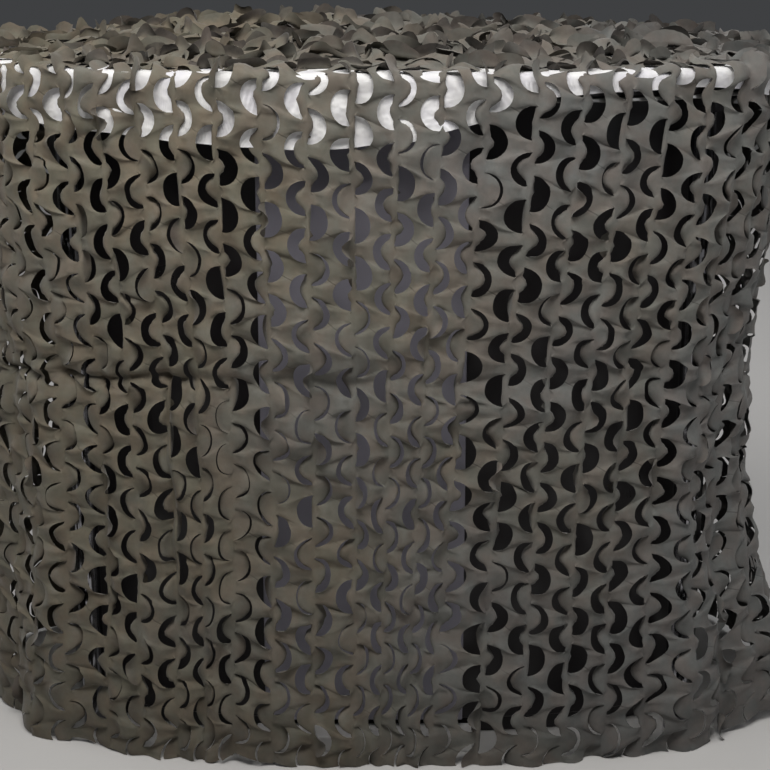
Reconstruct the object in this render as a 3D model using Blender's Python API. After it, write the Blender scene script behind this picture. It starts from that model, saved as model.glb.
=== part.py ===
"""A camouflage net draped over a small rounded table with a white cloth under it.

Metres, +Z up, the front faces -Y. The origin is on the floor under the middle of the table.
Every plan outline is a rounded rectangle of the form |x/a|^n + |y/b|^n = 1.
"""
import math

import bmesh
import bpy
import numpy as np

# Driving sizes
TABLE_HEIGHT = 0.735        # top face of the table top
GAP = 0.0003                # between pieces that touch
CLOTH_GAP = 0.0005          # between the white cloth and the net lying on it
EDGE_CLEARANCE = 0.002      # between draped cloth and the edge it falls over
NET_THICKNESS = 0.0025      # fabric with its turned leaves
UNDERCLOTH_THICKNESS = 0.0015
OUTLINE_SHARPNESS = 2.7     # n of the outlines: 2 is an ellipse, more is squarer

TOP_HALF_WIDTH = 0.425
TOP_HALF_DEPTH = 0.213
TOP_THICKNESS = 0.022
TRIM_THICKNESS = 0.004
TRIM_PROUD = 0.0012
TRIM_BEVEL = 0.0008

CABINET_HALF_WIDTH = 0.365
CABINET_HALF_DEPTH = 0.165
PLINTH_HEIGHT = 0.022
PLINTH_INSET = 0.012
OUTLINE_STEPS = 72          # sides of each turned-out outline
EDGE_BEVEL = 0.0015

PANEL_LEFT = -0.131
PANEL_RIGHT = 0.085
PANEL_THICKNESS = 0.010
PANEL_BOTTOM = 0.026
PANEL_TOP = 0.700

FOOT_HALF_WIDTH = 0.118
FOOT_DEPTH = 0.034
FOOT_HEIGHT = 0.018

POST_RADIUS = 0.0125
POST_X = 0.325
POST_Y = 0.138
SOCKET_RADIUS = 0.0185
SOCKET_HEIGHT = 0.016
ROUND_SIDES = 32

# The cut leaves of the net: rows of half-round cuts, of which the widest open ones are holes here
CUT_RADIUS = 0.0165
GAP_ARC_STEPS = 8
CUTTER_AHEAD = 0.027        # how far the cutter reaches in front of the net
CUTTER_BEHIND = 0.080       # and behind it

FLOOR_CLEARANCE = 0.003     # the hem's lowest point
NET_STEPS = 96              # round the net
EDGE_ROUND = 0.010          # the net's turn over the table edge
EDGE_ROUND_STEPS = 2
FOLD_GROWTH = 1.3           # power with which a fold deepens down the net
HEAP_FADE = 4               # power with which the heaps fade towards the table's edge
UNDERCLOTH_STEPS = 72
UNDERCLOTH_ROUND = 0.004
UNDERCLOTH_ROUND_STEPS = 2
DENSE_STEPS = 1440          # points that an outline is measured with

# Sections down the net: height, then how far it reaches to each side of the middle
NET_SECTIONS = [
    # height, left, right, front, back
    (0.725, 0.440, 0.438, 0.2250, 0.2260),
    (0.660, 0.441, 0.434, 0.2250, 0.2270),
    (0.570, 0.440, 0.424, 0.2265, 0.2275),
    (0.500, 0.437, 0.408, 0.2265, 0.2270),
    (0.460, 0.436, 0.402, 0.2270, 0.2270),
    (0.430, 0.433, 0.399, 0.2235, 0.2240),
    (0.400, 0.437, 0.401, 0.2275, 0.2280),
    (0.280, 0.440, 0.404, 0.2270, 0.2300),
    (0.180, 0.444, 0.422, 0.2290, 0.2330),
    (0.095, 0.447, 0.448, 0.2310, 0.2370),
    (0.000, 0.450, 0.462, 0.2330, 0.2400),
]

# Folds that run down the net: place round it from the front middle, right positive
NET_FOLDS = [
    # name, place, half_width, depth_top, depth_hem, drift
    ("front left crease", -0.225, 0.024, -0.0010, -0.0040, 0.010),
    ("front left swell", -0.120, 0.070, 0.0010, 0.0040, 0.000),
    ("front trough", 0.060, 0.060, -0.0005, -0.0030, -0.010),
    ("front right swell", 0.190, 0.050, 0.0005, 0.0040, -0.030),
    ("front right trough", 0.270, 0.030, -0.0005, -0.0060, -0.050),
    ("right pleat one", 0.350, 0.026, 0.0010, 0.0080, -0.030),
    ("right tuck one", 0.405, 0.026, -0.0005, -0.0120, -0.020),
    ("right pleat two", 0.462, 0.028, 0.0020, 0.0120, 0.000),
    ("right tuck two", 0.520, 0.028, -0.0005, -0.0120, 0.010),
    ("right pleat three", 0.585, 0.032, 0.0020, 0.0140, 0.010),
    ("right tuck three", 0.650, 0.030, -0.0005, -0.0110, 0.000),
    ("right pleat four", 0.715, 0.034, 0.0020, 0.0120, 0.010),
    ("back pleat one", 0.830, 0.045, 0.0010, 0.0110, 0.010),
    ("back tuck one", 0.925, 0.035, -0.0005, -0.0100, 0.000),
    ("back pleat two", 1.010, 0.040, 0.0010, 0.0100, 0.000),
    ("left tuck one", -0.330, 0.028, -0.0005, -0.0070, 0.020),
    ("left pleat one", -0.390, 0.028, 0.0010, 0.0080, 0.020),
    ("left tuck two", -0.450, 0.028, -0.0005, -0.0110, 0.010),
    ("left pleat two", -0.510, 0.030, 0.0020, 0.0110, 0.000),
    ("left tuck three", -0.575, 0.030, -0.0005, -0.0120, 0.000),
    ("left pleat three", -0.640, 0.034, 0.0020, 0.0120, -0.010),
    ("left tuck four", -0.720, 0.034, -0.0005, -0.0090, 0.000),
    ("back pleat three", -0.820, 0.045, 0.0010, 0.0100, 0.000),
    ("back tuck two", -0.920, 0.040, -0.0005, -0.0110, 0.010),
    ("back pleat four", -1.010, 0.040, 0.0010, 0.0090, 0.000),
]

# Places where the hem is lifted off the floor
HEM_LIFTS = [
    # place, half_width, lift
    (-0.560, 0.080, 0.010),
    (-0.300, 0.060, 0.006),
    (-0.150, 0.030, 0.011),
    (0.110, 0.070, 0.006),
    (0.285, 0.030, 0.010),
    (0.430, 0.050, 0.012),
    (0.700, 0.080, 0.006),
    (0.980, 0.060, 0.009),
    (-0.900, 0.080, 0.007),
]

# Soft heaps of loose net on the table top
TOP_HEAPS = [
    # x, y, spread_x, spread_y, height
    (-0.120, 0.060, 0.110, 0.080, 0.017),
    (-0.020, 0.110, 0.060, 0.055, 0.009),
    (-0.290, 0.010, 0.070, 0.090, 0.009),
    (0.150, -0.020, 0.070, 0.070, 0.006),
    (0.300, 0.040, 0.080, 0.090, 0.007),
    (-0.020, -0.100, 0.120, 0.040, 0.004),
]

# Rings across the top of a cloth, as a share of the way out from the middle to its edge
NET_TOP_RINGS = (0.16, 0.34, 0.52, 0.69, 0.84, 0.95)
UNDERCLOTH_TOP_RINGS = (0.35, 0.72)
UNDERCLOTH_SIDE_RINGS = (0.5, 1.0)      # share of the way down to its lower edge

# The lower edge of the white cloth: how far it hangs below the table's top face
UNDERCLOTH_DROPS = [
    # place, drop
    (-1.100, 0.050),
    (-0.800, 0.062),
    (-0.560, 0.048),
    (-0.360, 0.056),
    (-0.210, 0.067),
    (-0.060, 0.075),
    (0.020, 0.066),
    (0.090, 0.048),
    (0.170, 0.022),
    (0.230, 0.019),
    (0.340, 0.018),
    (0.450, 0.040),
    (0.620, 0.055),
    (0.850, 0.045),
    (1.100, 0.050),
]
UNDERCLOTH_WAVES = 13
UNDERCLOTH_WAVE_DEPTH = 0.0022

# The widest openings of the net: half-round holes left where a cut leaf is turned right back.
# x and height are the middle of the leaf's straight fold line.
NET_GAPS = [
    # x, height, faces_left
    (-0.314, 0.588, False),
    (-0.312, 0.540, False),
    (-0.230, 0.408, False),
    (-0.228, 0.361, False),
    (-0.224, 0.266, False),
    (-0.164, 0.530, True),
    (-0.157, 0.601, False),
    (0.140, 0.500, True),
    (0.147, 0.595, True),
    (0.181, 0.447, True),
    (0.282, 0.673, True),
    (0.287, 0.650, False),
]


def outline(half_width, half_depth, steps, sharpness=OUTLINE_SHARPNESS):
    """Points of a rounded rectangle, evenly spaced by arc length from the front middle, to the right."""
    return outline_sided((half_width, half_width, half_depth, half_depth), steps, sharpness)


def outline_sided(reach, steps, sharpness=OUTLINE_SHARPNESS):
    """As outline, with its own reach to the left, right, front and back."""
    left, right, front, back = reach
    turn = np.linspace(0.0, 2.0 * math.pi, DENSE_STEPS + 1) - math.pi / 2.0
    cos, sin = np.cos(turn), np.sin(turn)
    across = np.where(cos < 0.0, left, right)
    along = np.where(sin < 0.0, front, back)
    total = np.abs(cos / across) ** sharpness + np.abs(sin / along) ** sharpness
    radius = total ** (-1.0 / sharpness)
    dense = np.stack([cos * radius, sin * radius], axis=1)
    run = np.concatenate([[0.0], np.cumsum(np.linalg.norm(np.diff(dense, axis=0), axis=1))])
    stops = np.linspace(0.0, run[-1], steps, endpoint=False)
    points = np.stack([np.interp(stops, run, dense[:, axis]) for axis in (0, 1)], axis=1)
    places = np.where(stops > run[-1] / 2.0, stops - run[-1], stops)
    return points, places


def outward(points):
    """The outward unit normal at each point of a closed outline that runs anticlockwise."""
    along = np.roll(points, -1, axis=0) - np.roll(points, 1, axis=0)
    normal = np.stack([along[:, 1], -along[:, 0]], axis=1)
    return normal / np.linalg.norm(normal, axis=1, keepdims=True)


def wrapped(places, centre, length):
    """Signed distance round a closed outline from its place at centre."""
    return (places - centre + length / 2.0) % length - length / 2.0


def fold_depth(places, length, share_down):
    """How far the folds push the net outwards; share_down is 0 at the table edge and 1 at the hem."""
    depth = np.zeros_like(places)
    for _, place, half_width, top, hem, drift in NET_FOLDS:
        away = wrapped(places, place + drift * share_down, length)
        deep = top + (hem - top) * share_down**FOLD_GROWTH
        depth += deep * np.exp(-((away / half_width) ** 2))
    return depth


def hem_lift(places, length):
    """Height of the hem above its lowest point."""
    lift = np.zeros_like(places)
    for place, half_width, height in HEM_LIFTS:
        lift += height * np.exp(-((wrapped(places, place, length) / half_width) ** 2))
    return lift


def heap_height(points, share_out):
    """Height of the loose net over the flat table top, fading out towards its edge."""
    height = np.zeros(len(points))
    for x, y, spread_x, spread_y, top in TOP_HEAPS:
        across = (points[:, 0] - x) / spread_x
        along = (points[:, 1] - y) / spread_y
        height += top * np.exp(-(across**2) - along**2)
    return height * (1.0 - share_out**HEAP_FADE)


def ring(points, heights):
    """The plan points, each at its height."""
    return np.column_stack([points, np.broadcast_to(heights, len(points))])


def net_rings():
    """The net's outer face: rings from near the middle of the top, over the edge and down to the hem."""
    top_height = TABLE_HEIGHT + GAP + UNDERCLOTH_THICKNESS + CLOTH_GAP + NET_THICKNESS
    edge, places = outline_sided(NET_SECTIONS[0][1:], NET_STEPS)
    length = NET_STEPS * np.linalg.norm(edge[1] - edge[0])
    rings = []
    for share in NET_TOP_RINGS:
        flat = (edge - outward(edge) * EDGE_ROUND) * share
        rings.append(ring(flat, top_height + heap_height(flat, share)))
    for step in range(EDGE_ROUND_STEPS):
        turn = math.pi / 2.0 * step / EDGE_ROUND_STEPS
        inset = EDGE_ROUND * (1.0 - math.sin(turn))
        below = EDGE_ROUND * (1.0 - math.cos(turn))
        rings.append(ring(edge - outward(edge) * inset, top_height - below))
    hem = FLOOR_CLEARANCE + hem_lift(places, length)
    for height, *reach in NET_SECTIONS:
        points, places = outline_sided(reach, NET_STEPS)
        share_down = 1.0 - height / NET_SECTIONS[0][0]
        points = points + outward(points) * fold_depth(places, length, share_down)[:, None]
        rings.append(ring(points, np.maximum(height, hem)))
    return rings


def undercloth_rings():
    """The white cloth's outer face: flat on the top, turned over the edge, with an uneven lower edge."""
    outset = EDGE_CLEARANCE + UNDERCLOTH_THICKNESS
    top_height = TABLE_HEIGHT + GAP + UNDERCLOTH_THICKNESS
    edge, places = outline(TOP_HALF_WIDTH + outset, TOP_HALF_DEPTH + outset, UNDERCLOTH_STEPS)
    table = np.array(UNDERCLOTH_DROPS)
    length = UNDERCLOTH_STEPS * np.linalg.norm(edge[1] - edge[0])
    drop = np.interp(places, table[:, 0], table[:, 1])
    wave = 0.5 + 0.5 * np.sin(2.0 * math.pi * UNDERCLOTH_WAVES * places / length)
    rings = [ring(edge * share, top_height) for share in UNDERCLOTH_TOP_RINGS]
    for step in range(UNDERCLOTH_ROUND_STEPS + 1):
        turn = math.pi / 2.0 * step / UNDERCLOTH_ROUND_STEPS
        inset = UNDERCLOTH_ROUND * (1.0 - math.sin(turn))
        below = UNDERCLOTH_ROUND * (1.0 - math.cos(turn))
        rings.append(ring(edge - outward(edge) * inset, top_height - below))
    for share in UNDERCLOTH_SIDE_RINGS:
        spread = outward(edge) * (wave * UNDERCLOTH_WAVE_DEPTH * share)[:, None]
        below = UNDERCLOTH_ROUND + share * (drop - UNDERCLOTH_ROUND)
        rings.append(ring(edge + spread, top_height - below))
    return rings


def material(name, colour, roughness, metallic=0.0):
    finish = bpy.data.materials.new(name)
    finish.use_nodes = True
    shader = finish.node_tree.nodes["Principled BSDF"]
    shader.inputs["Base Color"].default_value = (*colour, 1.0)
    shader.inputs["Roughness"].default_value = roughness
    shader.inputs["Metallic"].default_value = metallic
    return finish


def add_object(name, form, finish, smooth_angle=None):
    """An object of the bmesh form, with its faces pointing out."""
    bmesh.ops.recalc_face_normals(form, faces=form.faces)
    mesh = bpy.data.meshes.new(name)
    form.to_mesh(mesh)
    form.free()
    if smooth_angle is not None:
        mesh.shade_smooth()
        mesh.set_sharp_from_angle(angle=math.radians(smooth_angle))
    piece = bpy.data.objects.new(name, mesh)
    bpy.context.scene.collection.objects.link(piece)
    if finish is not None:
        mesh.materials.append(finish)
    return piece


def draped_sheet(name, rings, thickness, finish):
    """An open sheet through the rings, closed at the middle of the top and given its thickness inwards."""
    form = bmesh.new()
    middle = form.verts.new((0.0, 0.0, float(rings[0][:, 2].mean())))
    rows = [[form.verts.new(point) for point in points] for points in rings]
    steps = len(rows[0])
    for step in range(steps):
        following = (step + 1) % steps
        form.faces.new((middle, rows[0][step], rows[0][following]))
        for upper, lower in zip(rows, rows[1:]):
            form.faces.new((upper[step], lower[step], lower[following], upper[following]))
    sheet = add_object(name, form, finish, smooth_angle=60)
    wall = sheet.modifiers.new("cloth thickness", "SOLIDIFY")
    wall.thickness = thickness
    wall.offset = -1.0
    return sheet


def cut_net_gaps(net):
    """Half-round holes through the front of the net, where its leaves stand widest open."""
    form = bmesh.new()
    front = -NET_SECTIONS[0][3]
    for x, height, faces_left in NET_GAPS:
        side = -1.0 if faces_left else 1.0
        turns = np.linspace(-math.pi / 2.0, math.pi / 2.0, GAP_ARC_STEPS + 1)
        outer = [(x + side * CUT_RADIUS * math.cos(t), height + CUT_RADIUS * math.sin(t)) for t in turns]
        near = [form.verts.new((px, front - CUTTER_AHEAD, pz)) for px, pz in outer]
        far = [form.verts.new((px, front + CUTTER_BEHIND, pz)) for px, pz in outer]
        form.faces.new(near)
        form.faces.new(far)
        for first in range(len(outer)):
            second = (first + 1) % len(outer)
            form.faces.new((near[first], near[second], far[second], far[first]))
    cutter = add_object("net_gap_cutter", form, None)
    cutter.hide_render = True
    cutter.display_type = "WIRE"
    cut = net.modifiers.new("widest gaps", "BOOLEAN")
    cut.operation = "DIFFERENCE"
    cut.object = cutter


def slab(name, half_width, half_depth, bottom, top, finish, bevel=EDGE_BEVEL):
    """An upright slab on a rounded rectangle, with small bevels round its two faces."""
    form = bmesh.new()
    points, _ = outline(half_width, half_depth, OUTLINE_STEPS)
    base = form.faces.new([form.verts.new((x, y, bottom)) for x, y in points])
    raised = bmesh.ops.extrude_face_region(form, geom=[base])["geom"]
    lifted = [part for part in raised if isinstance(part, bmesh.types.BMVert)]
    bmesh.ops.translate(form, verts=lifted, vec=(0.0, 0.0, top - bottom))
    piece = add_object(name, form, finish, smooth_angle=40)
    edge = piece.modifiers.new("eased edges", "BEVEL")
    edge.width = bevel
    edge.segments = 1
    edge.limit_method = "ANGLE"
    edge.angle_limit = math.radians(60)
    return piece


def block(name, low, high, finish, bevel=EDGE_BEVEL):
    """A box from its low to its high corner, with eased edges."""
    form = bmesh.new()
    bmesh.ops.create_cube(form, size=1.0)
    for vert in form.verts:
        vert.co = [low[axis] + (high[axis] - low[axis]) * (vert.co[axis] + 0.5) for axis in range(3)]
    piece = add_object(name, form, finish)
    edge = piece.modifiers.new("eased edges", "BEVEL")
    edge.width = bevel
    edge.segments = 2
    return piece


def round_bar(name, x, y, radius, bottom, top, finish):
    """An upright round bar."""
    form = bmesh.new()
    bmesh.ops.create_cone(
        form, cap_ends=True, segments=ROUND_SIDES, radius1=radius, radius2=radius, depth=top - bottom
    )
    piece = add_object(name, form, finish, smooth_angle=40)
    piece.location = (x, y, (bottom + top) / 2.0)
    return piece


def socketed_post(name, x, y, top, post_finish, socket_finish):
    """A post from the floor to the underside of the table, in a collar with a bore just wider than it."""
    round_bar(f"{name}_post", x, y, POST_RADIUS, 0.0, top - GAP, post_finish)
    form = bmesh.new()
    bore = POST_RADIUS + 2.0 * GAP
    upper = top - GAP
    lower = upper - SOCKET_HEIGHT
    turns = np.linspace(0.0, 2.0 * math.pi, ROUND_SIDES, endpoint=False)
    rows = []
    for radius, z in ((bore, lower), (SOCKET_RADIUS, lower), (SOCKET_RADIUS, upper), (bore, upper)):
        points = [(x + radius * math.cos(t), y + radius * math.sin(t), z) for t in turns]
        rows.append([form.verts.new(point) for point in points])
    for first in range(len(rows)):
        second = (first + 1) % len(rows)
        for step in range(ROUND_SIDES):
            after = (step + 1) % ROUND_SIDES
            inner, outer = rows[first], rows[second]
            form.faces.new((inner[step], inner[after], outer[after], outer[step]))
    add_object(f"{name}_socket", form, socket_finish, smooth_angle=40)


def build():
    for old in list(bpy.data.objects):
        bpy.data.objects.remove(old, do_unlink=True)

    net_cloth = material("net_cloth", (0.165, 0.155, 0.125), 0.85)
    white_cloth = material("white_cloth", (0.72, 0.71, 0.71), 0.80)
    black_gloss = material("black_gloss", (0.012, 0.012, 0.016), 0.25)
    grey_board = material("grey_board", (0.22, 0.21, 0.25), 0.60)
    pale_board = material("pale_board", (0.62, 0.61, 0.60), 0.50)
    pale_metal = material("pale_metal", (0.70, 0.70, 0.70), 0.30, 1.0)
    polished_steel = material("polished_steel", (0.55, 0.55, 0.57), 0.12, 1.0)

    net = draped_sheet("camouflage_net", net_rings(), NET_THICKNESS, net_cloth)
    cut_net_gaps(net)
    draped_sheet("white_undercloth", undercloth_rings(), UNDERCLOTH_THICKNESS, white_cloth)

    under_top = TABLE_HEIGHT - TOP_THICKNESS
    under_trim = under_top - GAP - TRIM_THICKNESS
    slab("table_top", TOP_HALF_WIDTH, TOP_HALF_DEPTH, under_top, TABLE_HEIGHT, black_gloss)
    slab(
        "table_trim",
        TOP_HALF_WIDTH + TRIM_PROUD,
        TOP_HALF_DEPTH + TRIM_PROUD,
        under_trim,
        under_top - GAP,
        pale_metal,
        bevel=TRIM_BEVEL,
    )
    slab(
        "cabinet",
        CABINET_HALF_WIDTH,
        CABINET_HALF_DEPTH,
        PLINTH_HEIGHT + GAP,
        under_trim - GAP,
        black_gloss,
    )
    slab(
        "plinth",
        CABINET_HALF_WIDTH - PLINTH_INSET,
        CABINET_HALF_DEPTH - PLINTH_INSET,
        0.0,
        PLINTH_HEIGHT,
        black_gloss,
    )

    panel_back = -CABINET_HALF_DEPTH - GAP
    block(
        "front_panel",
        (PANEL_LEFT, panel_back - PANEL_THICKNESS, PANEL_BOTTOM),
        (PANEL_RIGHT, panel_back, PANEL_TOP),
        grey_board,
    )
    foot_middle = (PANEL_LEFT + PANEL_RIGHT) / 2.0
    block(
        "foot_plate",
        (foot_middle - FOOT_HALF_WIDTH, panel_back - FOOT_DEPTH, 0.0),
        (foot_middle + FOOT_HALF_WIDTH, panel_back, FOOT_HEIGHT),
        pale_board,
    )
    for name, x, y in (
        ("front_left", -POST_X, -POST_Y),
        ("front_right", POST_X, -POST_Y),
        ("back_left", -POST_X, POST_Y),
        ("back_right", POST_X, POST_Y),
    ):
        socketed_post(name, x, y, under_trim, polished_steel, black_gloss)


build()
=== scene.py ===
import math

import bpy
import numpy as np
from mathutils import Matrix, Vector


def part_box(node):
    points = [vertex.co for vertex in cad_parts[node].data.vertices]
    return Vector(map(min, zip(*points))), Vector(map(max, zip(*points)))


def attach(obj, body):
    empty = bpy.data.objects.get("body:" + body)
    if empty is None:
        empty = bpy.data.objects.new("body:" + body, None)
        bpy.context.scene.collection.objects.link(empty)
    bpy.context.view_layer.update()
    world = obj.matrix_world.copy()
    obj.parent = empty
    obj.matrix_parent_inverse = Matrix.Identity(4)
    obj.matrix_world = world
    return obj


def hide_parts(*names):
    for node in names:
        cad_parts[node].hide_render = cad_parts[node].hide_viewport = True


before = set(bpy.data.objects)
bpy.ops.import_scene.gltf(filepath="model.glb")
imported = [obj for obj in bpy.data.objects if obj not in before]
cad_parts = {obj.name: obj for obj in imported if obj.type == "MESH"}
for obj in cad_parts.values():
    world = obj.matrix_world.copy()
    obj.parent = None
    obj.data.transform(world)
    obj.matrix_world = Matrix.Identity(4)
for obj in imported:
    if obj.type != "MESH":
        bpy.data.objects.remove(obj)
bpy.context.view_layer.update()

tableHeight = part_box("table_top")[1].z                   # top face of the table
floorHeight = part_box("foot_plate")[0].z


def smoothStep(share):
    # 3t^2 - 2t^3 between 0 and 1, flat outside
    t = np.clip(share, 0.0, 1.0)
    return t * t * (3.0 - 2.0 * t)


def bump(distance, halfWidth):
    # the bell exp(-(distance / halfWidth)^2)
    return np.exp(-((distance / halfWidth) ** 2))


def wrapped(place, centre, length):
    # signed distance round a closed outline from its place at centre
    return (place - centre + length / 2.0) % length - length / 2.0


def readShort(table, place):
    # a short table of place and value, read with straight runs between its rows
    rows = np.array(table)
    return np.interp(place, rows[:, 0], rows[:, 1])


def ripples(seed, first, second, longest, shortest, waves=14, crest=1.6):
    # sum of plane sine waves of random direction, phase and length, scaled to about -1..1 by the root of
    # half their number and by how high the crests of such a sum stand
    draw = np.random.default_rng(seed)
    total = np.zeros(np.broadcast(first, second).shape)
    for _ in range(waves):
        heading, phase = draw.uniform(0.0, 2.0 * math.pi, 2)
        length = math.exp(draw.uniform(math.log(shortest), math.log(longest)))
        turn = 2.0 * math.pi / length
        total += np.sin(turn * (math.cos(heading) * first + math.sin(heading) * second) + phase)
    return total / math.sqrt(waves / 2.0) / crest


def rippled(start, rows, first, second):
    # start with ripples added: each row gives their seed, height, longest and shortest wave
    for seed, height, longest, shortest in rows:
        start = start + height * ripples(seed, first, second, longest, shortest)
    return start


def drawTable(draw, table, shape):
    # an array of random numbers for each name: a normal draw has its mean and spread, an even one its ends
    kinds = {"normal": draw.normal, "even": draw.uniform}
    return {name: kinds[kind](first, second, shape) for name, (kind, first, second) in table.items()}


def roundedOutline(left, right, front, back, sharpness, steps, dense=2880):
    # |x/a|^n + |y/b|^n = 1 with its own reach to each side, sampled evenly by arc length from the
    # front middle towards the right; gives points, outward unit normals and the outline's length
    turn = np.linspace(-math.pi / 2.0, 1.5 * math.pi, dense + 1)
    cos, sin = np.cos(turn), np.sin(turn)
    across = np.where(cos < 0.0, left, right)
    along = np.where(sin < 0.0, front, back)
    reach = (np.abs(cos / across) ** sharpness + np.abs(sin / along) ** sharpness) ** (-1.0 / sharpness)
    curve = np.stack([cos * reach, sin * reach], axis=1)
    run = np.concatenate([[0.0], np.cumsum(np.linalg.norm(np.diff(curve, axis=0), axis=1))])
    stops = np.linspace(0.0, run[-1], steps, endpoint=False)
    points = np.stack([np.interp(stops, run, curve[:, axis]) for axis in (0, 1)], axis=1)
    ahead = np.roll(points, -1, axis=0) - np.roll(points, 1, axis=0)
    normal = np.stack([ahead[:, 1], -ahead[:, 0]], axis=1)
    return points, normal / np.linalg.norm(normal, axis=1, keepdims=True), run[-1]


def readTable(table, row, column):
    # bilinear reading of table[row, column, :], where the columns close on themselves
    rows, columns = table.shape[:2]
    low = np.clip(np.floor(row).astype(int), 0, rows - 2)
    left = np.floor(column).astype(int)
    down = (row - low)[..., None]
    along = (column - left)[..., None]
    left, right = left % columns, (left + 1) % columns
    upper = table[low, left] * (1.0 - along) + table[low, right] * along
    lower = table[low + 1, left] * (1.0 - along) + table[low + 1, right] * along
    return upper * (1.0 - down) + lower * down


# places round the net count from the front middle, positive to the right
netHang = {
    "sharpness": 2.7,            # n of its plan outline
    "outlineSteps": 720,
    "edgeHeight": 0.7402,        # where the cloth lies on the table's edge
    "edgeRound": 0.011,          # radius of the turn over the edge
    "inset": 0.0012,             # half the cloth's thickness, back from its outer face
    "hemHeight": 0.0012,
    "offFloor": 0.0006,          # the least height of any point of a leaf
    "sections": [
        # height, then reach to the left, right, front and back
        (0.725, 0.440, 0.438, 0.2250, 0.2260),
        (0.660, 0.441, 0.434, 0.2250, 0.2270),
        (0.570, 0.440, 0.424, 0.2265, 0.2275),
        (0.500, 0.437, 0.408, 0.2265, 0.2270),
        (0.460, 0.436, 0.402, 0.2270, 0.2270),
        (0.430, 0.433, 0.399, 0.2235, 0.2240),
        (0.400, 0.437, 0.401, 0.2275, 0.2280),
        (0.280, 0.440, 0.404, 0.2270, 0.2300),
        (0.180, 0.444, 0.422, 0.2290, 0.2330),
        (0.095, 0.447, 0.448, 0.2310, 0.2370),
        (0.000, 0.450, 0.462, 0.2330, 0.2400),
    ],
    "foldPower": 1.3,            # of the share down the net, as a fold deepens
    "folds": [
        # place, half width, depth at the top and at the hem, drift
        (-0.225, 0.024, -0.0010, -0.0040, 0.010),
        (-0.120, 0.070, 0.0010, 0.0040, 0.000),
        (0.060, 0.060, -0.0005, -0.0030, -0.010),
        (0.190, 0.050, 0.0005, 0.0040, -0.030),
        (0.270, 0.030, -0.0005, -0.0060, -0.050),
        (0.350, 0.026, 0.0010, 0.0080, -0.030),
        (0.405, 0.026, -0.0005, -0.0120, -0.020),
        (0.462, 0.028, 0.0020, 0.0120, 0.000),
        (0.520, 0.028, -0.0005, -0.0120, 0.010),
        (0.585, 0.032, 0.0020, 0.0140, 0.010),
        (0.650, 0.030, -0.0005, -0.0110, 0.000),
        (0.715, 0.034, 0.0020, 0.0120, 0.010),
        (0.830, 0.045, 0.0010, 0.0110, 0.010),
        (0.925, 0.035, -0.0005, -0.0100, 0.000),
        (1.010, 0.040, 0.0010, 0.0100, 0.000),
        (-0.330, 0.028, -0.0005, -0.0070, 0.020),
        (-0.390, 0.028, 0.0010, 0.0080, 0.020),
        (-0.450, 0.028, -0.0005, -0.0110, 0.010),
        (-0.510, 0.030, 0.0020, 0.0110, 0.000),
        (-0.575, 0.030, -0.0005, -0.0120, 0.000),
        (-0.640, 0.034, 0.0020, 0.0120, -0.010),
        (-0.720, 0.034, -0.0005, -0.0090, 0.000),
        (-0.820, 0.045, 0.0010, 0.0100, 0.000),
        (-0.920, 0.040, -0.0005, -0.0110, 0.010),
        (-1.010, 0.040, 0.0010, 0.0090, 0.000),
    ],
    "hemLifts": [
        # place, half width, height off the floor
        (-0.560, 0.080, 0.010),
        (-0.300, 0.060, 0.006),
        (-0.150, 0.030, 0.011),
        (0.110, 0.070, 0.006),
        (0.285, 0.030, 0.010),
        (0.430, 0.050, 0.012),
        (0.700, 0.080, 0.006),
        (0.980, 0.060, 0.009),
        (-0.900, 0.080, 0.007),
    ],
    "creaseFade": 0.04,          # the run over which a crease ends
    "waver": (0.003, 61.0, 40.0),        # of a crease: how far, and its phase per metre along and of place
    "creases": [
        # from place, height to place, height, half width, depth
        (-0.560, 0.398, -0.380, 0.419, 0.0040, 0.0105),
        (-0.380, 0.419, -0.200, 0.429, 0.0040, 0.0105),
        (-0.200, 0.429, 0.110, 0.426, 0.0050, 0.0040),
        (-0.236, 0.430, -0.228, 0.200, 0.0045, 0.0080),
        (-0.228, 0.200, -0.190, 0.040, 0.0070, 0.0050),
        (-0.060, 0.165, 0.150, 0.150, 0.0070, 0.0024),
        (0.175, 0.180, 0.270, 0.115, 0.0060, 0.0030),
        (0.200, 0.205, 0.255, 0.165, 0.0050, 0.0024),
        (-0.300, 0.260, -0.320, 0.060, 0.0070, 0.0030),
        (0.240, 0.420, 0.330, 0.440, 0.0060, 0.0022),
    ],
}

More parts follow.
